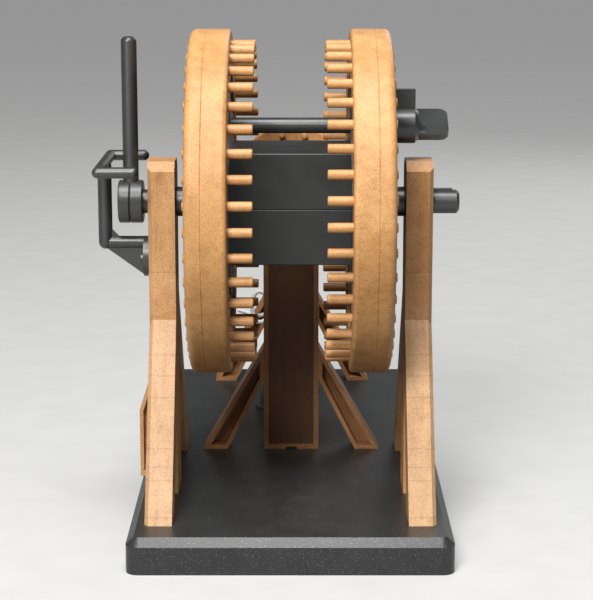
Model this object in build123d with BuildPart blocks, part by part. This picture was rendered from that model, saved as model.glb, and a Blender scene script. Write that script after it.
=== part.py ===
from build123d import *
import math
import os

os.makedirs("parts", exist_ok=True)

# driving dimensions, mm. X runs along the cross axle, +Y to the rear, +Z up.
# origin: underside of the base, directly below the middle of the axle
axle_z = 106.7
axle_r = 3.85
run_gap = 0.05
axle_bore_r = axle_r + run_gap

block_half_w = 18.8
block_half = 17.6

# peg wheels
wheel_r = 55.0
wheel_in = block_half_w
wheel_mid = wheel_in + 7.7
wheel_out = wheel_mid + 5.1
ring_bore = wheel_r - 13.0
lip_bore = ring_bore - 1.4
lip_w = 0.9
tooth_root = wheel_r - 11.3
tooth_crest = tooth_root - 2.5
tooth_count = 36
peg_count = 40
peg_circle = wheel_r - 4.9
peg_r = 1.5
peg_tip = 11.1
peg_head = wheel_out + 0.5
left_phase = 2.10
right_phase = 0.27

# discs that carry the wheels on the axle
carrier_r = ring_bore - 0.06
carrier_face_in = wheel_in + lip_w + 0.1
carrier_face_out = wheel_mid - 0.1
carrier_pad_r = lip_bore - 10.6
carrier_boss_r = 16.0
carrier_boss_out = wheel_out - 0.4

# side frames
frame_in = wheel_out + 5.2
frame_t = 8.6
frame_out = frame_in + frame_t
frame_half = 8.3
head_seam = axle_z - 21.7
head_top = axle_z + 13.6
head_cut = 2.9
edge_cut = 1.2
front_leg_top = axle_z - 37.2
front_foot = -42.0
front_foot_in = -28.3
rear_foot_in = 41.3
rear_foot = 55.0
rear_leg_top = axle_z - 30.7
collar_r = axle_r + 0.9
collar_out = frame_in - 0.1

base_half_w = frame_out + 5.0
base_front = -55.1
base_rear = 165.0
base_top = 11.3
base_bevel = 2.5
base_corner = 4.0

buttress_front = 11.4
buttress_deep = 14.6
buttress_t = 5.3
buttress_h = 33.0
buttress_shoulder = 23.0
buttress_rim = 1.2

# axle ends, hub and lever
axle_left = -frame_out - 9.7
axle_right = frame_out + 8.7
key_half = 1.2
key_rise = 0.4
key_end = axle_right - 2.2
hub_r = 6.9
hub_mid = -frame_out - 6.0
hub_in = -frame_out - 1.9
lever_x = hub_mid + 0.2
lever_r = 2.5
lever_top = axle_z + 52.7
lever_seat = axle_z + 0.5

# pawls, their rod and the paddle that lifts them
pawl_reach = 24.5
pawl_z = axle_z + pawl_reach
pawl_shaft_r = 2.5
pawl_bore_r = pawl_shaft_r + run_gap
pawl_in = wheel_mid + 2.1
pawl_out = pawl_in + 2.4
pawl_hub_r = 4.3
tip_gap = 0.15
tip_r = tooth_crest - tip_gap
tip_angle = 25.0
lug_in = pawl_out + 0.1
lug_out = lug_in + 1.5
rod_left = -lug_out - 0.4
paddle_hub_r = 5.7
paddle_hub_in = lug_out + 0.4
paddle_hub_out = paddle_hub_in + 7.7
rod_right = paddle_hub_out - 1.0
blade_t = 3.5
blade_h = 11.6
paddle_t = 2.2
paddle_len = 14.0
paddle_out = paddle_hub_out + 9.9
paddle_tilt = 30.0
paddle_drop = 4.7
paddle_corner = 3.0

guide_bar_y = 21.6
guide_bar_z = axle_z + 12.2
guide_bar_r = 1.75
guide_side_x = lever_x - 8.5
guide_tip_x = -frame_out - 1.5
guide_post_r = 2.25
guide_low_z = axle_z - 13.2
guide_low_r = 1.95
guide_rib_t = 1.6
flange_r = 6.5
flange_t = 1.9
flange_z = axle_z - 17.8
screw_y = 4.3
screw_r = 0.8
screw_len = 6.0

# lantern pinion
pinion_rise = 1.03
pinion_z = axle_z + pinion_rise
stave_count = 12
stave_circle = peg_circle * stave_count / peg_count - 0.03
stave_r = 1.0
stave_tip = peg_circle - 2.7
disc_front = peg_circle + 1.9
disc_back = disc_front + 4.0
disc_r = stave_circle + 3.0
pinion_phase = 18.1

# trestles and line shaft
cheek_t = 2.5
cheek_low = pinion_z - disc_r - 2.03
trestle_deep = 10.0
trestle_y = (stave_tip - 0.8 - cheek_t, base_rear - 11.8 - trestle_deep)
post_half = 9.6
post_top = axle_z + 7.5
post_rim = 1.7
brace_foot = 30.9
brace_foot_in = 22.5
brace_top = 36.9
brace_top_in = 25.5
brace_rim = 1.4
shaft_r = 3.0
shaft_collar_r = 5.0
collar_gap = 0.2
front_collar_t = 1.4
rear_collar_t = 2.0
shaft_front = trestle_y[0] - collar_gap - front_collar_t - 0.3
shaft_back = trestle_y[1] + trestle_deep + collar_gap + rear_collar_t + 0.6

# drum, string and load
load_y = 100.3
string_r = 0.6
winding_pitch = 1.75
winding_turns = 6
drum_r = 5.0
drum_flange_r = 8.6
drum_flange_t = 1.5
drum_front = load_y - drum_flange_t - 1.4
drum_back = load_y + winding_turns * winding_pitch + drum_flange_t + 1.0
winding_r = drum_r + string_r + 0.04
load_x = -winding_r
knot_z = base_top + 39.2
loop_w = 9.2
loop_h = 5.9

spring_r = pawl_shaft_r + 0.7
spring_wire_r = 0.3
spring_in = wheel_mid + 0.25
spring_pitch = 1.0


def finish(piece, name):
    piece.part.label = name
    export_step(piece.part, f"parts/{name}.step")


def wheel_point(radius, degrees):
    a = math.radians(degrees)
    return (radius * math.sin(a), axle_z + radius * math.cos(a))


def along_x(start, end, radius, y=0.0, z=axle_z):
    """One round bar parallel to X."""
    with BuildPart() as bar:
        with BuildSketch(Plane.YZ.offset(start)):
            with Locations((y, z)):
                Circle(radius)
        extrude(amount=end - start)
    return bar.part


def along_y(start, end, radius, x=0.0, z=axle_z):
    """One round bar parallel to Y."""
    with BuildPart() as bar:
        with BuildSketch(Plane(origin=(0, start, 0), x_dir=(1, 0, 0), z_dir=(0, 1, 0))):
            with Locations((x, -z)):
                Circle(radius)
        extrude(amount=end - start)
    return bar.part


def span(side, near, far):
    """X range of a piece between two distances from the middle, on one side."""
    return (side * far, side * near) if side < 0 else (side * near, side * far)


# stand
with BuildPart() as base_plate:
    with BuildSketch(Plane.XY):
        with Locations((0, (base_front + base_rear) / 2)):
            RectangleRounded(2 * base_half_w, base_rear - base_front, base_corner)
    extrude(amount=base_top)
    chamfer(base_plate.faces().sort_by(Axis.Z)[-1].edges(), base_bevel)
finish(base_plate, "base_plate")


def board(side, points, cuts):
    """A board of a side frame, drawn in the YZ plane, with chosen outer edges eased."""
    lo, hi = span(side, frame_in, frame_out)
    with BuildPart() as piece:
        with BuildSketch(Plane.YZ.offset(lo)):
            with BuildLine():
                Polyline(*points, close=True)
            make_face()
        extrude(amount=hi - lo)
        for a, b in cuts:
            mid = Vector(side * frame_out, (a[0] + b[0]) / 2, (a[1] + b[1]) / 2)
            chamfer(piece.edges().sort_by_distance(mid)[0], edge_cut)
    return piece


for side_name, side in (("left", -1), ("right", 1)):
    lo, hi = span(side, frame_in, frame_out)
    f = frame_half
    flat = f - head_cut
    post_pts = [(-f, base_top), (f, base_top), (f, head_seam), (-f, head_seam)]
    post = board(side, post_pts, [(post_pts[0], post_pts[3]), (post_pts[1], post_pts[2])])
    finish(post, f"{side_name}_post")

    head_pts = [(-f, head_seam), (f, head_seam), (f, head_top - head_cut), (flat, head_top),
                (-flat, head_top), (-f, head_top - head_cut)]
    head_blank = board(side, head_pts, [(head_pts[0], head_pts[5]), (head_pts[1], head_pts[2])])
    with BuildPart() as head:
        add(head_blank.part)
        add(along_x(lo - 1, hi + 1, axle_bore_r), mode=Mode.SUBTRACT)
        if side < 0:
            for y in (-screw_y, screw_y):
                add(along_x(-frame_out - 1, -frame_out + screw_len, screw_r, y, flange_z),
                    mode=Mode.SUBTRACT)
    finish(head, f"{side_name}_head")

    rake = (front_leg_top - base_top) / (front_foot + f)
    inner_top = base_top + rake * (front_foot_in + f)
    front_pts = [(-f, front_leg_top), (front_foot, base_top), (front_foot_in, base_top),
                 (-f, inner_top)]
    front_leg = board(side, front_pts, [(front_pts[0], front_pts[1])])
    finish(front_leg, f"{side_name}_front_leg")

    rear_inner = base_top + (rear_leg_top - base_top) * (rear_foot_in - f) / (rear_foot - f)
    rear_pts = [(f, rear_leg_top), (rear_foot, base_top), (rear_foot_in, base_top), (f, rear_inner)]
    rear_leg = board(side, rear_pts, [(rear_pts[2], rear_pts[3])])
    finish(rear_leg, f"{side_name}_rear_leg")

buttress_out = -frame_out - buttress_t
buttress_plane = Plane(origin=(0, buttress_front, 0), x_dir=(1, 0, 0), z_dir=(0, 1, 0))
with BuildPart() as left_buttress:
    with BuildSketch(buttress_plane):
        with BuildLine():
            Polyline((buttress_out, -base_top), (buttress_out, -base_top - buttress_shoulder),
                     (-frame_out - 2.0, -base_top - buttress_h), (-frame_out, -base_top - buttress_h),
                     (-frame_out, -base_top), close=True)
        make_face()
    extrude(amount=buttress_deep)
    with BuildSketch(buttress_plane):
        with BuildLine():
            Polyline((buttress_out + buttress_rim, -base_top - 2),
                     (buttress_out + buttress_rim, -base_top - buttress_shoulder + 0.4),
                     (-frame_out - 1.4, -base_top - buttress_h + 2),
                     (-frame_out - buttress_rim, -base_top - buttress_h + 2),
                     (-frame_out - buttress_rim, -base_top - 2), close=True)
        make_face()
    extrude(amount=3, mode=Mode.SUBTRACT)
finish(left_buttress, "left_buttress")


def trestle_post(y0, low_depth):
    """Hollow-fronted post with a bore for the line shaft near its top."""
    with BuildPart() as post:
        with Locations((0, y0, base_top)):
            Box(2 * post_half, cheek_t, post_top - base_top,
                align=(Align.CENTER, Align.MIN, Align.MIN))
            Box(2 * post_half, trestle_deep, low_depth - base_top,
                align=(Align.CENTER, Align.MIN, Align.MIN))
        with Locations((0, y0, base_top + post_rim)):
            Box(2 * (post_half - post_rim), 0.8, axle_z - 8 - base_top - post_rim,
                align=(Align.CENTER, Align.MIN, Align.MIN), mode=Mode.SUBTRACT)
        with Locations((0, y0, base_top)):
            Box(3.9, 1.6, 0.7, align=(Align.CENTER, Align.MIN, Align.MIN), mode=Mode.SUBTRACT)
        add(along_y(y0 - 1, y0 + trestle_deep + 1, shaft_r + run_gap, 0, pinion_z),
            mode=Mode.SUBTRACT)
    return post


def trestle_brace(side, y0):
    """Raking brace with a deep hollow in its front."""
    outline = [(post_half, brace_top), (brace_foot, 0.0), (brace_foot_in, 0.0),
               (post_half, brace_top_in)]
    plane = Plane(origin=(0, y0, 0), x_dir=(1, 0, 0), z_dir=(0, 1, 0))
    with BuildPart() as brace:
        with BuildSketch(plane):
            with BuildLine():
                Polyline(*[(side * x, -base_top - z) for x, z in outline], close=True)
            make_face()
        extrude(amount=trestle_deep)
        with BuildSketch(plane):
            with BuildLine():
                Polyline(*[(side * x, -base_top - z) for x, z in outline], close=True)
            make_face()
            offset(amount=-brace_rim, kind=Kind.INTERSECTION, mode=Mode.REPLACE)
        extrude(amount=0.6 * trestle_deep, mode=Mode.SUBTRACT)
    return brace


for spot, y0, low in (("front", trestle_y[0], cheek_low), ("rear", trestle_y[1], post_top)):
    finish(trestle_post(y0, low), f"{spot}_trestle_post")
    for side_name, side in (("left", -1), ("right", 1)):
        finish(trestle_brace(side, y0), f"{spot}_{side_name}_brace")

with BuildPart() as lever_guide:
    for y in (-guide_bar_y, guide_bar_y):
        add(along_x(guide_side_x, guide_tip_x - guide_bar_r, guide_bar_r, y, guide_bar_z))
        with Locations((guide_tip_x - guide_bar_r, y, guide_bar_z), (guide_side_x, y, guide_bar_z)):
            Sphere(guide_bar_r)
    add(along_y(-guide_bar_y, guide_bar_y, guide_bar_r, guide_side_x, guide_bar_z))
    with Locations((guide_side_x, 0, guide_low_z)):
        Cylinder(guide_post_r, guide_bar_z - guide_low_z,
                 align=(Align.CENTER, Align.CENTER, Align.MIN))
        Sphere(guide_post_r)
    add(along_x(guide_side_x, -frame_out - 0.2, guide_low_r, 0, guide_low_z))
    add(along_x(-frame_out - flange_t, -frame_out, flange_r, 0, flange_z))
    rib_plane = Plane(origin=(0, -guide_rib_t / 2, 0), x_dir=(1, 0, 0), z_dir=(0, 1, 0))
    with BuildSketch(rib_plane):
        with BuildLine():
            Polyline((guide_side_x - 0.8, -guide_low_z + 0.4), (guide_side_x - 0.8, -guide_low_z + 1.0),
                     (-frame_out - 1.6, -flange_z + 6.2), (-frame_out - 0.6, -flange_z + 6.2),
                     (-frame_out - 0.6, -guide_low_z), close=True)
        make_face()
        with BuildLine():
            Polyline((guide_side_x + 1.5, -guide_low_z), (guide_side_x + 1.5, -guide_low_z - 4.8),
                     (guide_side_x + 6.1, -guide_low_z), close=True)
        make_face()
    extrude(amount=guide_rib_t)
    for y in (-screw_y, screw_y):
        add(along_x(-frame_out - 3, -frame_out + 1, screw_r, y, flange_z), mode=Mode.SUBTRACT)
finish(lever_guide, "lever_guide")

with BuildPart() as guide_screws:
    for y in (-screw_y, screw_y):
        add(along_x(-frame_out - flange_t, -frame_out + screw_len, screw_r, y, flange_z))
        add(along_x(-frame_out - flange_t - 0.8, -frame_out - flange_t, 1.5, y, flange_z))
finish(guide_screws, "guide_screws")

# rocker: axle, hub, lever, block, carriers, collars, pawl rod
lever_bore = Cylinder(lever_r, 60, align=(Align.CENTER, Align.CENTER, Align.MIN))
lever_bore = Pos(lever_x, 0, lever_seat) * lever_bore

with BuildPart() as axle_shaft:
    add(along_x(axle_left, axle_right, axle_r))
    chamfer(axle_shaft.faces().sort_by(Axis.X)[-1].edges(), 0.9)
    with Locations((frame_out + 0.3, 0, axle_z)):
        Box(key_end - frame_out - 0.3, 2 * key_half, axle_r + key_rise,
            align=(Align.MIN, Align.CENTER, Align.MIN))
    add(lever_bore, mode=Mode.SUBTRACT)
finish(axle_shaft, "axle_shaft")

for name, start, end in (("lever_hub_outer", axle_left, hub_mid),
                         ("lever_hub_inner", hub_mid, hub_in)):
    with BuildPart() as hub_disc:
        add(along_x(start, end, hub_r))
        chamfer(hub_disc.edges().filter_by(GeomType.CIRCLE), 0.35)
        add(along_x(start - 1, end + 1, axle_r), mode=Mode.SUBTRACT)
        add(lever_bore, mode=Mode.SUBTRACT)
    finish(hub_disc, name)

with BuildPart() as lever_rod:
    with Locations((lever_x, 0, lever_seat)):
        Cylinder(lever_r, lever_top - lever_seat, align=(Align.CENTER, Align.CENTER, Align.MIN))
    fillet(lever_rod.faces().sort_by(Axis.Z)[-1].edges(), 1.6)
finish(lever_rod, "lever_rod")

for name, up in (("block_upper", 1), ("block_lower", -1)):
    with BuildPart() as half:
        with Locations((0, 0, axle_z + up * block_half / 2)):
            Box(2 * block_half_w, 2 * block_half, block_half)
        chamfer(half.edges().filter_by(Axis.X), 0.25)
        add(along_x(-block_half_w - 1, block_half_w + 1, axle_r), mode=Mode.SUBTRACT)
    finish(half, name)

for side_name, side in (("left", -1), ("right", 1)):
    with BuildPart() as carrier:
        add(along_x(*span(side, wheel_in, carrier_face_in), carrier_pad_r))
        add(along_x(*span(side, carrier_face_in, carrier_face_out), carrier_r))
        add(along_x(*span(side, carrier_face_out, carrier_boss_out), carrier_boss_r))
        add(along_x(*span(side, wheel_in - 1, carrier_boss_out + 1), axle_r), mode=Mode.SUBTRACT)
        add(along_x(*span(side, wheel_in - 1, carrier_boss_out + 1), pawl_bore_r, 0, pawl_z),
            mode=Mode.SUBTRACT)
    finish(carrier, f"{side_name}_carrier")

    with BuildPart() as collar:
        add(along_x(*span(side, carrier_boss_out, collar_out), collar_r))
        chamfer(collar.edges().filter_by(GeomType.CIRCLE), 0.3)
        add(along_x(*span(side, carrier_boss_out - 1, collar_out + 1), axle_r), mode=Mode.SUBTRACT)
    finish(collar, f"{side_name}_collar")

# release rod with its lugs and paddle
with BuildPart() as pawl_shaft:
    add(along_x(rod_left, rod_right, pawl_shaft_r, 0, pawl_z))
    chamfer(pawl_shaft.faces().sort_by(Axis.X)[0].edges(), 0.5)
finish(pawl_shaft, "pawl_shaft")

arm_dir = Vector(tip_r * math.sin(math.radians(tip_angle)),
                 tip_r * math.cos(math.radians(tip_angle)) - pawl_reach, 0).normalized()
arm_up = Vector(-arm_dir.Y, arm_dir.X, 0)


def arm_point(along, across):
    """Point in the YZ plane of a pawl, measured from the pawl's own pivot."""
    return (arm_dir.X * along + arm_up.X * across, pawl_z + arm_dir.Y * along + arm_up.Y * across)


for side_name, side in (("left", -1), ("right", 1)):
    lo, hi = span(side, pawl_in, pawl_out)
    if side < 0:
        tip = [wheel_point(tip_r, tip_angle), wheel_point(tip_r - 1.45, tip_angle + 2.3)]
    else:
        tip = [wheel_point(tip_r - 2.65, tip_angle - 2.6), wheel_point(tip_r, tip_angle - 1.4),
               wheel_point(tip_r - 1.05, tip_angle + 2.6)]
    with BuildPart() as pawl:
        add(along_x(lo, hi, pawl_hub_r, 0, pawl_z))
        with BuildSketch(Plane.YZ.offset(lo)):
            with BuildLine():
                Polyline(arm_point(0, 2.8), *tip, arm_point(0, -2.8), close=True)
            make_face()
        extrude(amount=hi - lo)
        add(along_x(lo - 1, hi + 1, pawl_bore_r, 0, pawl_z), mode=Mode.SUBTRACT)
    finish(pawl, f"{side_name}_pawl")

    lo, hi = span(side, lug_in, lug_out)
    with BuildPart() as lug:
        add(along_x(lo, hi, pawl_hub_r, 0, pawl_z))
        with BuildSketch(Plane.YZ.offset(lo)):
            with BuildLine():
                Polyline(arm_point(0, 4.2), arm_point(9.0, 6.4), arm_point(9.0, 0.0),
                         arm_point(0, 0.0), close=True)
            make_face()
        extrude(amount=hi - lo)
        flo, fhi = span(side, pawl_in, lug_out)
        with BuildSketch(Plane.YZ.offset(flo)):
            with BuildLine():
                Polyline(arm_point(6.4, 3.2), arm_point(9.0, 3.2), arm_point(9.0, 6.4),
                         arm_point(6.4, 5.8), close=True)
            make_face()
        extrude(amount=fhi - flo)
        add(along_x(lo - 1, hi + 1, pawl_shaft_r, 0, pawl_z), mode=Mode.SUBTRACT)
    finish(lug, f"{side_name}_pawl_lug")

with BuildPart() as release_paddle:
    add(along_x(paddle_hub_in, paddle_hub_out, paddle_hub_r, 0, pawl_z))
    chamfer(release_paddle.faces().sort_by(Axis.X)[-1].edges(), 1.2)
    with Locations((paddle_hub_in, 0, pawl_z)):
        Box(rod_right - paddle_hub_in, blade_t, blade_h,
            align=(Align.MIN, Align.CENTER, Align.MIN))
    slope = math.radians(paddle_tilt)
    root_x = rod_right - 0.1
    with BuildSketch(Plane(origin=(0, 0, pawl_z - paddle_drop), x_dir=(1, 0, 0),
                           z_dir=(0, -math.sin(slope), math.cos(slope)))) as plate:
        with Locations((root_x, 0)):
            Rectangle(paddle_out - root_x, paddle_len, align=(Align.MIN, Align.MIN))
        fillet(plate.vertices().group_by(Axis.X)[-1], paddle_corner)
    extrude(amount=paddle_t)
    with BuildSketch(Plane.XZ.offset(-2.6)):
        with BuildLine():
            web = ThreePointArc((root_x, pawl_z + paddle_hub_r - 0.3), (root_x + 1.3, pawl_z + 1.7),
                                (root_x + 3.6, pawl_z - 0.2))
            Polyline(web @ 1, (root_x + 3.6, pawl_z - 2.6), (root_x, pawl_z - 2.6), web @ 0)
        make_face()
    extrude(amount=2.0)
    add(along_x(paddle_hub_in - 1, rod_right, pawl_shaft_r, 0, pawl_z), mode=Mode.SUBTRACT)
finish(release_paddle, "release_paddle")

# wheels
for side_name, side in (("left", -1), ("right", 1)):
    phase = left_phase if side < 0 else right_phase
    spots = [wheel_point(peg_circle, -phase - 360 / peg_count * i) for i in range(peg_count)]

    lo, hi = span(side, wheel_in, wheel_mid)
    with BuildPart() as inner_ring:
        add(along_x(lo, hi, wheel_r))
        fillet(inner_ring.edges().filter_by(GeomType.CIRCLE)
               .sort_by_distance((side * wheel_in, 0, axle_z + wheel_r))[0], 1.3)
        chamfer(inner_ring.edges().filter_by(GeomType.CIRCLE)
                .sort_by_distance((side * wheel_mid, 0, axle_z + wheel_r))[0], 0.2)
        add(along_x(*span(side, wheel_in + lip_w, wheel_mid + 1), ring_bore), mode=Mode.SUBTRACT)
        add(along_x(*span(side, wheel_in - 1, wheel_mid), lip_bore), mode=Mode.SUBTRACT)
        with BuildSketch(Plane.YZ.offset(lo)):
            with Locations(*spots):
                Circle(peg_r)
        extrude(amount=hi - lo, mode=Mode.SUBTRACT)
    finish(inner_ring, f"{side_name}_inner_ring")

    lo, hi = span(side, wheel_mid, wheel_out)
    pitch = 360 / tooth_count
    teeth = []
    for i in range(tooth_count):
        if side < 0:
            teeth += [wheel_point(tooth_crest, pitch * i), wheel_point(tooth_root, pitch * (i + 0.95))]
        else:
            teeth += [wheel_point(tooth_crest, pitch * i), wheel_point(tooth_root, pitch * (i + 0.05))]
    with BuildPart() as outer_ring:
        add(along_x(lo, hi, wheel_r))
        fillet(outer_ring.edges().filter_by(GeomType.CIRCLE)
               .sort_by_distance((side * wheel_out, 0, axle_z + wheel_r))[0], 2.2)
        chamfer(outer_ring.edges().filter_by(GeomType.CIRCLE)
                .sort_by_distance((side * wheel_mid, 0, axle_z + wheel_r))[0], 0.2)
        with BuildSketch(Plane.YZ.offset(lo)):
            with BuildLine():
                Polyline(*teeth, close=True)
            make_face()
        extrude(amount=hi - lo, mode=Mode.SUBTRACT)
        with BuildSketch(Plane.YZ.offset(lo)):
            with Locations(*spots):
                Circle(peg_r)
        extrude(amount=hi - lo, mode=Mode.SUBTRACT)
    finish(outer_ring, f"{side_name}_outer_ring")

    lo, hi = span(side, peg_tip, peg_head)
    with BuildPart() as peg:
        add(along_x(lo, hi, peg_r, 0, 0))
        fillet(peg.faces().sort_by(Axis.X)[0 if side < 0 else -1].edges(), 0.35)
        fillet(peg.faces().sort_by(Axis.X)[-1 if side < 0 else 0].edges(), 0.5)
    with BuildPart() as pegs:
        for y, z in spots:
            add(Pos(0, y, z) * peg.part)
    finish(pegs, f"{side_name}_pegs")

# line shaft
stave_spots = [(stave_circle * math.sin(math.radians(pinion_phase + 360 / stave_count * k)),
                pinion_z + stave_circle * math.cos(math.radians(pinion_phase + 360 / stave_count * k)))
               for k in range(stave_count)]

with BuildPart() as pinion_disc:
    add(along_y(disc_front, disc_back, disc_r, 0, pinion_z))
    chamfer(pinion_disc.edges().filter_by(GeomType.CIRCLE), 0.5)
    add(along_y(disc_front - 1, disc_back + 1, shaft_r, 0, pinion_z), mode=Mode.SUBTRACT)
    for x, z in stave_spots:
        add(along_y(disc_front - 1, disc_back - 1, stave_r, x, z), mode=Mode.SUBTRACT)
finish(pinion_disc, "pinion_disc")

with BuildPart() as stave:
    add(along_y(stave_tip, disc_back - 1, stave_r, 0, 0))
    fillet(stave.faces().sort_by(Axis.Y)[0].edges(), 0.4)
with BuildPart() as pinion_staves:
    for x, z in stave_spots:
        add(Pos(x, 0, z) * stave.part)
finish(pinion_staves, "pinion_staves")

with BuildPart() as line_shaft:
    add(along_y(shaft_front, shaft_back, shaft_r, 0, pinion_z))
    chamfer(line_shaft.edges().filter_by(GeomType.CIRCLE), 0.5)
finish(line_shaft, "line_shaft")

with BuildPart() as shaft_collars:
    front_face = trestle_y[0] - collar_gap
    rear_face = trestle_y[1] + trestle_deep + collar_gap
    add(along_y(front_face - front_collar_t, front_face, shaft_collar_r, 0, pinion_z))
    add(along_y(rear_face, rear_face + rear_collar_t, shaft_collar_r, 0, pinion_z))
    add(along_y(shaft_front - 1, shaft_back + 1, shaft_r, 0, pinion_z), mode=Mode.SUBTRACT)
finish(shaft_collars, "shaft_collars")

with BuildPart() as rope_drum:
    add(along_y(drum_front, drum_back, drum_r, 0, pinion_z))
    for start in (drum_front, drum_back - drum_flange_t):
        add(along_y(start, start + drum_flange_t, drum_flange_r, 0, pinion_z))
    chamfer(rope_drum.edges().filter_by(GeomType.CIRCLE).group_by(SortBy.RADIUS)[-1], 0.3)
    add(along_y(drum_front - 1, drum_back + 1, shaft_r, 0, pinion_z), mode=Mode.SUBTRACT)
finish(rope_drum, "rope_drum")


def biarcs(points, tangents):
    """Tangent arcs through points with given unit tangents, two arcs to a stretch."""
    arcs = []
    for p0, p1, t0, t1 in zip(points, points[1:], tangents, tangents[1:]):
        v, t = p1 - p0, t0 + t1
        k = 2 * (1 - t0.dot(t1))
        d = (-v.dot(t) + math.sqrt(v.dot(t) ** 2 + k * v.dot(v))) / k
        mid = (p0 + p1 + (t0 - t1) * d) * 0.5
        first = TangentArc(p0, mid, tangent=t0)
        arcs += [first, TangentArc(mid, p1, tangent=first % 1)]
    return arcs


def helix_points(per_turn):
    """Points and tangents of the winding, from the fall round to the far end."""
    pts, tans = [], []
    for i in range(winding_turns * per_turn + 1):
        a = 2 * math.pi * i / per_turn
        y = load_y + winding_pitch * i / per_turn
        pts.append(Vector(-winding_r * math.cos(a), y, pinion_z + winding_r * math.sin(a)))
        tans.append(Vector(winding_r * math.sin(a), winding_pitch / (2 * math.pi),
                           winding_r * math.cos(a)).normalized())
    return pts, tans


turn_pts, turn_tans = helix_points(4)
with BuildPart() as rope_winding:
    with BuildLine() as turns:
        biarcs(turn_pts, turn_tans)
    with BuildSketch(Plane(origin=turn_pts[0], z_dir=turn_tans[0])):
        Circle(string_r)
    sweep(path=turns.wires()[0])
finish(rope_winding, "rope_winding")
fine, _ = helix_points(24)
gap = min((p - q).length for i, p in enumerate(fine) for q in fine[i + 13:]) - 2 * string_r
print(f"least gap between turns of the winding {gap:.2f} mm")

# load: weight, eye, bow and fall
with BuildPart() as load_weight:
    for radius, low, high in ((8.0, 0.0, 1.6), (6.5, 1.6, 12.0), (5.2, 12.0, 22.0)):
        with Locations((load_x, load_y, base_top + low)):
            Cylinder(radius, high - low, align=(Align.CENTER, Align.CENTER, Align.MIN))
    chamfer(load_weight.faces().sort_by(Axis.Z)[-1].edges(), 0.8)
finish(load_weight, "load_weight")

with BuildPart() as load_hook:
    with Locations((load_x, load_y, base_top + 22.0)):
        Cylinder(1.1, 7.2, align=(Align.CENTER, Align.CENTER, Align.MIN))
    with Locations(Plane(origin=(load_x, load_y, base_top + 32.0), z_dir=(0, 1, 0))):
        Torus(3.2, 0.9)
finish(load_hook, "load_hook")


def tube(points, tangents, radius):
    """Round tube along tangent arcs."""
    with BuildPart() as piece:
        with BuildLine() as path:
            biarcs(points, tangents)
        with BuildSketch(Plane(origin=points[0], z_dir=tangents[0])):
            Circle(radius)
        sweep(path=path.wires()[0])
    return piece.part


def bow_loop(side):
    """Points and tangents of one loop of the bow, leaving and entering the knot."""
    pts, tans = [], []
    for i in range(9):
        t = 0.2 + (math.pi - 0.4) * i / 8
        pts.append(Vector(load_x + side * loop_w * math.sin(t), load_y - 1.2 * math.sin(t),
                          knot_z + 0.8 * math.sin(t) + loop_h * math.sin(2 * t)))
        tans.append(Vector(side * loop_w * math.cos(t), -1.2 * math.cos(t),
                           0.8 * math.cos(t) + 2 * loop_h * math.cos(2 * t)).normalized())
    return pts, tans


with BuildPart() as rope_bow:
    with Locations((load_x, load_y, knot_z)):
        Sphere(1.9)
    with Locations(Plane(origin=(load_x, load_y, base_top + 35.3), z_dir=(1, 0, 0))):
        Torus(1.7, string_r)
    for side in (-1, 1):
        add(tube(*bow_loop(side), string_r))
    for side, reach, drop in ((-1, 14.8, 1.4), (1, 8.5, 4.6)):
        ends = [Vector(load_x + side * 0.6, load_y + 0.6, knot_z - 0.4),
                Vector(load_x + side * reach * 0.5, load_y + 2.6, knot_z - 3.2 - drop * 0.3),
                Vector(load_x + side * reach, load_y + 2.8, knot_z - drop)]
        slopes = [Vector(side, 0.8, -0.6).normalized(), Vector(side, 0.15, -0.1).normalized(),
                  Vector(side, 0.05, 0.6 if side < 0 else -0.6).normalized()]
        add(tube(ends, slopes, string_r))
finish(rope_bow, "rope_bow")

with BuildPart() as rope_fall:
    with Locations((load_x, load_y, knot_z + 1.9)):
        Cylinder(string_r, pinion_z - knot_z - 1.9, align=(Align.CENTER, Align.CENTER, Align.MIN))
finish(rope_fall, "rope_fall")

# pawl springs: a turn and a half of wire round the rod, with two straight tails
for side_name, side in (("left", -1), ("right", 1)):
    pts, tans = [], []
    for i in range(7):
        a = math.pi / 2 * i
        pts.append(Vector(side * (spring_in + spring_pitch * i / 4), -spring_r * math.cos(a),
                          pawl_z + spring_r * math.sin(a)))
        lead = spring_pitch / (2 * math.pi) if 0 < i < 6 else 0
        tans.append(Vector(side * lead, spring_r * math.sin(a),
                           spring_r * math.cos(a)).normalized())
    with BuildPart() as spring:
        with BuildLine() as wire:
            Line(pts[0] - tans[0] * 8.0, pts[0])
            biarcs(pts, tans)
            Line(pts[-1], pts[-1] + tans[-1] * 5.0)
        with BuildSketch(Plane(origin=pts[0] - tans[0] * 8.0, z_dir=tans[0])):
            Circle(spring_wire_r)
        sweep(path=wire.wires()[0])
    finish(spring, f"{side_name}_pawl_spring")
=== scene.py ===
import math

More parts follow.
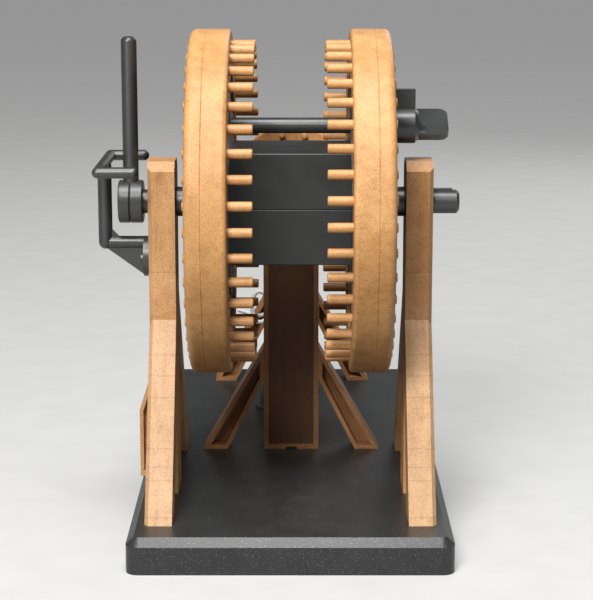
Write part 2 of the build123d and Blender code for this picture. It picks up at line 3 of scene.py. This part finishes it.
import bpy
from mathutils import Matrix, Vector


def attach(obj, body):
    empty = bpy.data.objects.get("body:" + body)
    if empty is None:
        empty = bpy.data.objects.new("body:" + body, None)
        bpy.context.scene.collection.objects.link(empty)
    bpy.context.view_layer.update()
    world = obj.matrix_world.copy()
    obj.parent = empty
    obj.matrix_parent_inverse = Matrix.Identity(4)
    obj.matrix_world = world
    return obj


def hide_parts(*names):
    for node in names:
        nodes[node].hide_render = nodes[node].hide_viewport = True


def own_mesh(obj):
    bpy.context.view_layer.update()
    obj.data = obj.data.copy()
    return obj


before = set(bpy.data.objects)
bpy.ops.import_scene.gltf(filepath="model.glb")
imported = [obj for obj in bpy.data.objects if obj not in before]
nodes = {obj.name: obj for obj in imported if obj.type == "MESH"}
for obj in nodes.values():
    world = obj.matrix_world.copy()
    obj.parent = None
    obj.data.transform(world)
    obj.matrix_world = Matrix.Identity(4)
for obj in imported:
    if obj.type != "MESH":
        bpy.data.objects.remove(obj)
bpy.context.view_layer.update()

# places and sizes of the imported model, in mm
MM = 0.001
AXLE_Z = 106.7
PINION_Z = AXLE_Z + 1.03
BASE_TOP = 11.3
# the next four values place the painted shade on the trestle post recess floors
POST_FRONTS = (44.1, 143.2)
RECESS_HALF_W = 7.95
RECESS_DEPTH = 0.9
RECESS_BAND = 0.5
HEAD_SEAM = 85.0
LEG_SEAMS = (59.3, 53.3, 47.1, 32.6, 27.5, 23.8, 13.6)
SEAM_HALF_W = 0.22
SEAM_MARGIN = 4

# string in mm: turns on the drum, the tight fall, the knot and its bow
STRING_R = 0.6
BOW_R = 0.8
WIND_R = 5.64
WIND_PITCH = 1.75
WIND_TURNS = 6
WIND_STEPS = 64
LOAD_X = -WIND_R
LOAD_Y = 100.3
KNOT_Z = BASE_TOP + 39.2
EYE_Z = BASE_TOP + 35.3
FALL_TOP = PINION_Z
FALL_LOW = KNOT_Z + 1.2
FALL_STEPS = 150
LOOP_STEPS = 70
LOOP_START = 0.16


# ---------------------------------------------------------------- material nodes
def new_material(name):
    """A node material, its tree and its shader."""
    mat = bpy.data.materials.new(name)
    mat.use_nodes = True
    tree = mat.node_tree
    return mat, tree, tree.nodes["Principled BSDF"]


def node(tree, kind, **values):
    """A new node with the given settings or input values."""
    n = tree.nodes.new(kind)
    for key, value in values.items():
        if key in n.inputs:
            n.inputs[key].default_value = value
        else:
            setattr(n, key, value)
    return n


def noise(tree, coord, scale, detail=3.0, rough=0.5):
    """Noise from 0 to 1."""
    n = node(tree, "ShaderNodeTexNoise", Scale=scale, Detail=detail, Roughness=rough)
    tree.links.new(coord, n.inputs["Vector"])
    return n.outputs["Fac"]


def ramp(tree, fac, stops):
    """Colour ramp through (position, colour) stops."""
    n = node(tree, "ShaderNodeValToRGB")
    elements = n.color_ramp.elements
    while len(elements) < len(stops):
        elements.new(0.5)
    for element, (position, colour) in zip(elements, stops):
        element.position = position
        element.color = (*colour, 1.0)
    tree.links.new(fac, n.inputs["Fac"])
    return n.outputs["Color"]


def mixed(tree, kind, fac, a, b):
    """Two colours mixed by a number or by another node's value."""
    n = node(tree, "ShaderNodeMix", data_type="RGBA", blend_type=kind)
    fac_in, a_in, b_in = n.inputs[0], n.inputs[6], n.inputs[7]
    if isinstance(fac, float):
        fac_in.default_value = fac
    else:
        tree.links.new(fac, fac_in)
    tree.links.new(a, a_in)
    tree.links.new(b, b_in)
    return n.outputs[2]


def ranged(tree, value, low, high):
    """A value from 0 to 1 spread from low to high."""
    n = node(tree, "ShaderNodeMapRange")
    n.inputs["To Min"].default_value = low
    n.inputs["To Max"].default_value = high
    tree.links.new(value, n.inputs["Value"])
    return n.outputs["Result"]


def bump(tree, height, strength, distance, before=None):
    """Bumped normal, on top of another one if given."""
    n = node(tree, "ShaderNodeBump", Strength=strength, Distance=distance)
    tree.links.new(height, n.inputs["Height"])
    if before:
        tree.links.new(before, n.inputs["Normal"])
    return n.outputs["Normal"]


def object_coords(tree, scale=(1, 1, 1)):
    """Object coordinates in metres, stretched by scale."""
    coords = node(tree, "ShaderNodeTexCoord")
    mapping = node(tree, "ShaderNodeMapping", Scale=scale)
    tree.links.new(coords.outputs["Object"], mapping.inputs["Vector"])
    return mapping.outputs["Vector"]


def split_xyz(tree, coord):
    """The three parts of a coordinate."""
    n = node(tree, "ShaderNodeSeparateXYZ")
    tree.links.new(coord, n.inputs[0])
    return n.outputs


def plain_colour(tree, colour):
    """One colour, for a mix."""
    n = node(tree, "ShaderNodeRGB")
    n.outputs[0].default_value = (*colour, 1)
    return n.outputs[0]


def calc(tree, kind, first, *rest):
    """One math step on node values and plain numbers."""
    n = node(tree, "ShaderNodeMath", operation=kind)
    tree.links.new(first, n.inputs[0])
    for i, value in enumerate(rest, 1):
        if isinstance(value, float):
            n.inputs[i].default_value = value
        else:
            tree.links.new(value, n.inputs[i])
    return n.outputs[0]


def painted_recess_shade_mask(tree, coord):
    """One where shade is painted: on the floor of each shallow recess in the trestle posts; zero
    elsewhere.
    """
    place = split_xyz(tree, coord)
    across = calc(tree, "LESS_THAN", calc(tree, "ABSOLUTE", place["X"]), RECESS_HALF_W * MM)
    floors = [calc(tree, "COMPARE", place["Y"], (front + RECESS_DEPTH) * MM, RECESS_BAND * MM)
              for front in POST_FRONTS]
    return calc(tree, "MULTIPLY", across, calc(tree, "MAXIMUM", *floors))


def seam_lines(tree, coord, seams):
    """White, with a thin brown line at each height in seams."""
    low, high = min(seams) - SEAM_MARGIN, max(seams) + SEAM_MARGIN
    height = split_xyz(tree, coord)["Z"]
    span = node(tree, "ShaderNodeMapRange")
    span.inputs["From Min"].default_value = low * MM
    span.inputs["From Max"].default_value = high * MM
    tree.links.new(height, span.inputs["Value"])
    stops = []
    for z in sorted(seams):
        middle, half = (z - low) / (high - low), SEAM_HALF_W / (high - low)
        stops += [(middle - half, (1, 1, 1)), (middle, (0.66, 0.58, 0.5)), (middle + half, (1, 1, 1))]
    return ramp(tree, span.outputs["Result"], stops)


# ---------------------------------------------------------------- materials
def wood(name, tones, grain, seams=(), rough=(0.42, 0.6), recess_painted_shade=False):
    """Fine-pored stained wood: broad tone, grain, mottling, pores, seams and, if asked, painted shade on
    the post recess floors.
    """
    mat, tree, bsdf = new_material(name)
    dark, mid, light = tones
    plain = object_coords(tree)
    along = object_coords(tree, grain)
    fine = noise(tree, plain, scale=2100, detail=2.0, rough=0.6)
    mottle = noise(tree, plain, scale=210)
    broad = noise(tree, plain, scale=38, detail=2.0)
    fibre = noise(tree, along, scale=520, detail=4.0, rough=0.65)
    base = ramp(tree, broad, [(0.3, dark), (0.5, mid), (0.72, light)])
    streaks = ramp(tree, fibre, [(0.33, (0.74, 0.70, 0.66)), (0.5, (1, 1, 1)), (0.7, (1, 1, 1))])
    base = mixed(tree, "MULTIPLY", 0.55, base, streaks)
    spots = ramp(tree, mottle, [(0.36, (0.84, 0.80, 0.76)), (0.55, (1, 1, 1))])
    base = mixed(tree, "MULTIPLY", 0.6, base, spots)
    pores = ramp(tree, fine, [(0.34, (0.70, 0.64, 0.58)), (0.5, (1, 1, 1)), (0.68, (1.12, 1.1, 1.06))])
    base = mixed(tree, "MULTIPLY", 0.75, base, pores)
    if seams:
        base = mixed(tree, "MULTIPLY", 0.8, base, seam_lines(tree, plain, seams))
    # painted shade: the recess floors are darkened to stand for the shadow cast into them
    if recess_painted_shade:
        shade = plain_colour(tree, (0.30, 0.27, 0.25))
        base = mixed(tree, "MULTIPLY", painted_recess_shade_mask(tree, plain), base, shade)
    tree.links.new(base, bsdf.inputs["Base Color"])
    tree.links.new(ranged(tree, mottle, *rough), bsdf.inputs["Roughness"])
    bsdf.inputs["Specular IOR Level"].default_value = 0.42
    grained = bump(tree, fibre, strength=0.16, distance=0.00012)
    tree.links.new(bump(tree, fine, strength=0.28, distance=0.00008, before=grained),
                   bsdf.inputs["Normal"])
    return mat


def plastic(name, dark, light, rough, grit, flecks=0.0, metal=0.0, shine=0.5):
    """Moulded plastic with a fine grain, faint cloudiness and, if asked, bright flecks."""
    mat, tree, bsdf = new_material(name)
    coord = object_coords(tree)
    cloud = noise(tree, coord, scale=90)
    fine = noise(tree, coord, scale=2600, detail=2.0, rough=0.6)
    base = ramp(tree, cloud, [(0.35, dark), (0.68, light)])
    if flecks:
        spark = noise(tree, coord, scale=2400, detail=1.0, rough=0.4)
        mask = ramp(tree, spark, [(0.64, (0, 0, 0)), (0.73, (1, 1, 1))])
        base = mixed(tree, "MIX", mask, base, plain_colour(tree, (flecks, flecks, flecks * 0.97)))
    grain = ramp(tree, fine, [(0.35, (0.8, 0.8, 0.8)), (0.6, (1.08, 1.08, 1.08))])
    base = mixed(tree, "MULTIPLY", 0.6, base, grain)
    tree.links.new(base, bsdf.inputs["Base Color"])
    tree.links.new(ranged(tree, cloud, *rough), bsdf.inputs["Roughness"])
    bsdf.inputs["Metallic"].default_value = metal
    bsdf.inputs["Specular IOR Level"].default_value = shine
    tree.links.new(bump(tree, fine, strength=grit, distance=0.00008), bsdf.inputs["Normal"])
    return mat


def string_material():
    """Twisted white cotton: yarn fuzz over the modelled twist."""
    mat, tree, bsdf = new_material("white_string")
    coord = object_coords(tree)
    fuzz = noise(tree, coord, scale=3200, rough=0.7)
    broad = noise(tree, coord, scale=240, detail=2.0)
    base = ramp(tree, broad, [(0.3, (0.80, 0.79, 0.76)), (0.7, (0.93, 0.925, 0.90))])
    hair = ramp(tree, fuzz, [(0.32, (0.72, 0.71, 0.69)), (0.55, (1, 1, 1))])
    tree.links.new(mixed(tree, "MULTIPLY", 0.7, base, hair), bsdf.inputs["Base Color"])
    bsdf.inputs["Roughness"].default_value = 0.85
    bsdf.inputs["Sheen Weight"].default_value = 0.25
    tree.links.new(bump(tree, fuzz, strength=0.5, distance=0.00012), bsdf.inputs["Normal"])
    return mat


def steel_material():
    """Drawn spring wire: fine draw lines and a soft sheen."""
    mat, tree, bsdf = new_material("spring_steel")
    coord = object_coords(tree)
    lines = noise(tree, coord, scale=4200, detail=2.0)
    base = ramp(tree, lines, [(0.35, (0.35, 0.35, 0.36)), (0.65, (0.55, 0.55, 0.57))])
    tree.links.new(base, bsdf.inputs["Base Color"])
    bsdf.inputs["Metallic"].default_value = 0.95
    tree.links.new(ranged(tree, lines, 0.26, 0.42), bsdf.inputs["Roughness"])
    tree.links.new(bump(tree, lines, strength=0.1, distance=0.00005), bsdf.inputs["Normal"])
    return mat


# dark, middle and light tone of each stain; the POST and HEAD tones also hold painted shade and the LEG
# tones painted light
WHEEL = ((0.47, 0.232, 0.082), (0.555, 0.290, 0.108), (0.63, 0.345, 0.138))
FRAME = ((0.48, 0.245, 0.096), (0.56, 0.30, 0.128), (0.62, 0.35, 0.165))
# POST tones are painted shade: the trestle post wood made very dark for the shadow between the wheels
# and the block
POST = ((0.22, 0.098, 0.037), (0.27, 0.127, 0.049), (0.32, 0.158, 0.064))
BRACE = ((0.27, 0.125, 0.047), (0.33, 0.158, 0.062), (0.39, 0.195, 0.08))
# HEAD tones are painted shade: the frame wood made a little darker for the shadow the lever guide casts
# across the heads
HEAD = ((0.44, 0.215, 0.080), (0.515, 0.265, 0.106), (0.57, 0.315, 0.138))
# LEG tones are painted light: the frame wood made paler and less orange for the strong top light on the
# raked legs
LEG = ((0.46, 0.255, 0.120), (0.53, 0.31, 0.155), (0.58, 0.355, 0.19))

mats = {
    "wheel_l": wood("wheel_wood_left", WHEEL, grain=(0.5, 1, 0.12)),
    "wheel_r": wood("wheel_wood_right", WHEEL, grain=(0.5, 0.14, 1)),
    "pegs": wood("peg_wood", WHEEL, grain=(0.1, 1, 1), rough=(0.36, 0.52)),
    "frame": wood("post_wood", FRAME, grain=(1, 1, 0.1), seams=(HEAD_SEAM,)),
    # head wood carries painted shade
    "head": wood("head_wood_painted_shade", HEAD, grain=(1, 1, 0.1), seams=(HEAD_SEAM,)),
    # leg wood carries painted light
    "leg": wood("leg_wood_painted_light", LEG, grain=(1, 0.3, 0.12), seams=LEG_SEAMS),
    # trestle post wood: painted shade in its dark tones and, on the recess floors, darker still
    "dark": wood("dark_wood", POST, grain=(1, 1, 0.1), rough=(0.55, 0.7), recess_painted_shade=True),
    "brace": wood("brace_wood", BRACE, grain=(1, 1, 0.1), rough=(0.5, 0.64)),
    "shaft": wood("shaft_wood", BRACE, grain=(1, 0.1, 1)),
    "disc": wood("disc_wood", WHEEL, grain=(1, 1, 0.12)),
    "black": plastic("black_plastic", (0.017, 0.018, 0.018), (0.027, 0.028, 0.028),
                     rough=(0.33, 0.45), grit=0.34, shine=0.85),
    "block": plastic("block_plastic", (0.013, 0.014, 0.014), (0.022, 0.023, 0.023),
                     rough=(0.38, 0.5), grit=0.16),
    "base": plastic("base_plastic", (0.020, 0.021, 0.021), (0.030, 0.031, 0.031),
                    rough=(0.30, 0.40), grit=0.4, flecks=0.13, metal=0.1),
    "weight": plastic("weight_plastic", (0.030, 0.030, 0.031), (0.046, 0.046, 0.047),
                      rough=(0.36, 0.48), grit=0.3, flecks=0.16),
    "string": string_material(),
    "steel": steel_material(),
}

# which material each node has
look = {
    # the buttress takes the leg wood with its painted light, to look as lit as the legs
    "base_plate": "base", "load_weight": "weight", "left_buttress": "leg",
    # the trestle posts take the wood with painted shade
    "front_trestle_post": "dark", "rear_trestle_post": "dark",
    "block_upper": "block", "block_lower": "block",
    "line_shaft": "shaft", "shaft_collars": "shaft",
    "pinion_disc": "disc", "rope_drum": "disc", "pinion_staves": "pegs",
    "rope_winding": "string", "rope_fall": "string", "rope_bow": "string",
}
for name in ("lever_guide", "guide_screws", "axle_shaft", "lever_hub_outer", "lever_hub_inner",
             "lever_rod", "pawl_shaft", "release_paddle", "load_hook"):
    look[name] = "black"
for side, wheel in (("left", "wheel_l"), ("right", "wheel_r")):
    look.update({f"{side}_inner_ring": wheel, f"{side}_outer_ring": wheel, f"{side}_pegs": "pegs",
                 f"{side}_post": "frame", f"{side}_head": "head",
                 f"{side}_front_leg": "leg", f"{side}_rear_leg": "leg",
                 f"front_{side}_brace": "brace", f"rear_{side}_brace": "brace",
                 f"{side}_carrier": "black", f"{side}_collar": "black",
                 f"{side}_pawl": "black", f"{side}_pawl_lug": "black",
                 f"{side}_pawl_spring": "steel"})

# how far each kind of edge is softened, in mm
WHEEL_EDGE = 0.12
BOARD_EDGE = 0.22
BOARD_WORDS = ("post", "leg", "head", "brace", "buttress")
OTHER_EDGES = {"base_plate": 0.5, "block_upper": 0.12, "block_lower": 0.12, "lever_guide": 0.12,
               "release_paddle": 0.25, "load_weight": 0.2}
SHARP_ANGLE = 32


def edge_width(name):
    """Width of a node's softened edges in mm, zero for none."""
    if name.endswith("_ring"):
        return WHEEL_EDGE
    if any(word in name for word in BOARD_WORDS):
        return BOARD_EDGE
    return OTHER_EDGES.get(name, 0.0)


for name, obj in nodes.items():
    obj.data.materials.clear()
    obj.data.materials.append(mats[look[name]])
    if edge_width(name):
        bevel = obj.modifiers.new("soft_edges", "BEVEL")
        bevel.width = edge_width(name) * MM
        bevel.segments = 2
        bevel.limit_method = "ANGLE"
        bevel.angle_limit = math.radians(SHARP_ANGLE)


# ---------------------------------------------------------------- string
def lay_tube(verts, faces, pts, radius, closed, lay=3.4, sides=18, strands=3):
    """Three-strand string along points in mm, its strands twisted round the centreline."""
    start = len(verts)
    count = len(pts)
    tangents = []
    for i in range(count):
        before = pts[(i - 1) % count] if closed or i > 0 else pts[0]
        after = pts[(i + 1) % count] if closed or i < count - 1 else pts[-1]
        tangents.append((after - before).normalized())
    across = tangents[0].orthogonal().normalized()
    run = 0.0
    for i, p in enumerate(pts):
        if i:
            turn = tangents[i - 1].rotation_difference(tangents[i])
            across = (turn @ across).normalized()
            run += (p - pts[i - 1]).length
        other = tangents[i].cross(across)
        taper = 0.8 if not closed and i in (0, count - 1) else 1.0
        for k in range(sides):
            angle = 2 * math.pi * k / sides
            strand = abs(math.cos(strands / 2 * (angle - 2 * math.pi * run / lay)))
            r = radius * (0.84 + 0.17 * strand ** 0.7) * taper
            verts.append((p + (across * math.cos(angle) + other * math.sin(angle)) * r) * MM)
    for i in range(count if closed else count - 1):
        here = start + i * sides
        there = start + (i + 1) % count * sides
        for k in range(sides):
            beside = (k + 1) % sides
            faces.append((here + k, here + beside, there + beside, there + k))
    if not closed:
        faces.append(tuple(start + k for k in reversed(range(sides))))
        faces.append(tuple(start + (count - 1) * sides + k for k in range(sides)))


def string_object(name, runs, body, radius=STRING_R):
    """One piece of string from runs of (points in mm, closed or not), riding on a body."""
    verts, faces = [], []
    for pts, closed in runs:
        lay_tube(verts, faces, pts, radius, closed)
    mesh = bpy.data.meshes.new(name)
    mesh.from_pydata([tuple(v) for v in verts], [], faces)
    mesh.update()
    for poly in mesh.polygons:
        poly.use_smooth = len(poly.vertices) == 4
    mesh.materials.append(mats["string"])
    obj = bpy.data.objects.new(name, mesh)
    bpy.context.scene.collection.objects.link(obj)
    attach(obj, body)
    return obj


def ring(centre, radius, normal, count, wobble=0.0):
    """Points of a closed ring."""
    turn = Vector((0, 0, 1)).rotation_difference(Vector(normal).normalized())
    pts = []
    for i in range(count):
        angle = 2 * math.pi * i / count
        flat = Vector((radius * math.cos(angle), radius * math.sin(angle), wobble * math.sin(2 * angle)))
        pts.append(Vector(centre) + turn @ flat)
    return pts


def smooth_run(points, steps=14):
    """Catmull-Rom curve through points, spaced closely."""
    pts = [Vector(p) for p in points]
    pts = [pts[0] * 2 - pts[1]] + pts + [pts[-1] * 2 - pts[-2]]
    out = []
    for a, b, c, d in zip(pts, pts[1:], pts[2:], pts[3:]):
        for i in range(steps):
            t = i / steps
            out.append(0.5 * (2 * b + (c - a) * t + (2 * a - 5 * b + 4 * c - d) * t * t
                              + (3 * b - a - 3 * c + d) * t ** 3))
    out.append(pts[-2])
    return out


def bow_loop(side):
    """One loop of the bow, out of the knot and back."""
    pts = []
    for i in range(LOOP_STEPS + 1):
        t = LOOP_START + (math.pi - 2 * LOOP_START) * i / LOOP_STEPS
        pts.append(Vector((LOAD_X + side * 9.2 * math.sin(t), LOAD_Y - 1.2 * math.sin(t),
                           KNOT_Z + 0.8 * math.sin(t) + 5.9 * math.sin(2 * t))))
    return pts


def tail(side, reach, drop):
    """One loose end of the bow, with its tip bent up on the left and down on the right."""
    lift = 0.9 if side < 0 else -0.9
    return smooth_run([(LOAD_X + side * 0.6, LOAD_Y + 0.6, KNOT_Z - 0.4),
                       (LOAD_X + side * reach * 0.25, LOAD_Y + 1.9, KNOT_Z - 2.2 - drop * 0.15),
                       (LOAD_X + side * reach * 0.5, LOAD_Y + 2.6, KNOT_Z - 3.2 - drop * 0.3),
                       (LOAD_X + side * reach * 0.78, LOAD_Y + 2.8, KNOT_Z - drop - 1.1 * lift),
                       (LOAD_X + side * reach, LOAD_Y + 2.8, KNOT_Z - drop)])


helix = []
for i in range(WIND_TURNS * WIND_STEPS + 1):
    angle = 2 * math.pi * i / WIND_STEPS
    helix.append(Vector((-WIND_R * math.cos(angle), LOAD_Y + WIND_PITCH * i / WIND_STEPS,
                         PINION_Z + WIND_R * math.sin(angle))))
winding = string_object("wound_string", [(helix, False)], "line")
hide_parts("rope_winding")

fall_pts = [Vector((LOAD_X, LOAD_Y, FALL_TOP + (FALL_LOW - FALL_TOP) * i / FALL_STEPS))
            for i in range(FALL_STEPS + 1)]
fall = string_object("hanging_string", [(fall_pts, False)], "load")
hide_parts("rope_fall")

bow = string_object("string_bow", [
    (bow_loop(-1), False),
    (bow_loop(1), False),
    (tail(-1, reach=14.8, drop=1.4), False),
    (tail(1, reach=8.5, drop=4.6), False),
    (ring((LOAD_X, LOAD_Y, KNOT_Z), 1.15, (0.35, 0.2, 1), 30, 0.15), True),
    (ring((LOAD_X, LOAD_Y, KNOT_Z + 0.5), 0.95, (-0.6, 0.3, 0.7), 26, 0.1), True),
    (ring((LOAD_X, LOAD_Y, KNOT_Z - 0.5), 1.0, (0.5, -0.4, 0.8), 26, 0.1), True),
    (ring((LOAD_X, LOAD_Y, EYE_Z), 1.7, (1, 0, 0), 40), True),
], "load", BOW_R)
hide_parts("rope_bow")
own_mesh(fall)

# ---------------------------------------------------------------- floor
FLOOR_SIZE = 12.0
scene = bpy.context.scene
bpy.ops.mesh.primitive_plane_add(size=FLOOR_SIZE, location=(0, 0, 0))
floor = bpy.context.object
floor.name = "floor"
mat, tree, bsdf = new_material("floor_paper")
speck = noise(tree, object_coords(tree), scale=60)
tone = ramp(tree, speck, [(0.35, (0.385, 0.385, 0.38)), (0.65, (0.41, 0.41, 0.405))])
tree.links.new(tone, bsdf.inputs["Base Color"])
bsdf.inputs["Roughness"].default_value = 0.9
bsdf.inputs["Emission Color"].default_value = (1, 1, 0.99, 1)
bsdf.inputs["Emission Strength"].default_value = 0.24
floor.data.materials.append(mat)
# the pale floor throws no light onto the undersides
floor.visible_diffuse = False

# ---------------------------------------------------------------- light
LIGHT_TARGET = (0, 0.02, 0.09)
# name, place in m, size in m, watts, tint
LAMPS = (
    ("key", (-0.20, -0.68, 0.62), 0.28, 7.2, (1.0, 0.985, 0.955)),
    ("side", (-0.46, -0.72, 0.30), 0.26, 1.7, (1, 1, 1)),
    ("top", (-0.02, -0.24, 0.95), 0.36, 7.0, (1, 1, 1)),
    ("fill", (0.65, -0.85, 0.55), 0.6, 1.6, (0.97, 0.985, 1.0)),
    ("rim", (0.35, 0.75, 0.5), 0.5, 1.6, (1, 1, 1)),
)

world = bpy.data.worlds.new("studio")
scene.world = world
world.use_nodes = True
sky = world.node_tree.nodes["Background"]
sky.inputs["Color"].default_value = (0.95, 0.97, 1.0, 1)
sky.inputs["Strength"].default_value = 0.13

for name, place, size, watts, tint in LAMPS:
    data = bpy.data.lights.new(name, "AREA")
    data.shape = "DISK"
    data.size = size
    data.energy = watts
    data.color = tint
    lamp = bpy.data.objects.new(name, data)
    scene.collection.objects.link(lamp)
    lamp.location = place
    aim = Vector(LIGHT_TARGET) - Vector(place)
    lamp.rotation_euler = aim.to_track_quat("-Z", "Y").to_euler()

# ---------------------------------------------------------------- camera
CAMERA_PLACE = (0.0019, -0.6022, 0.1990)
CAMERA_TILT = 78.3
FOCAL_MM = 113.46
SENSOR_MM = 36.0

cam_data = bpy.data.cameras.new("camera")
cam_data.lens = FOCAL_MM
cam_data.sensor_width = SENSOR_MM
cam_data.sensor_fit = "AUTO"
cam_data.clip_start = 0.01
cam = bpy.data.objects.new("camera", cam_data)
scene.collection.objects.link(cam)
cam.location = CAMERA_PLACE
cam.rotation_euler = (math.radians(CAMERA_TILT), 0, 0)
scene.camera = cam
scene.view_settings.view_transform = "Standard"
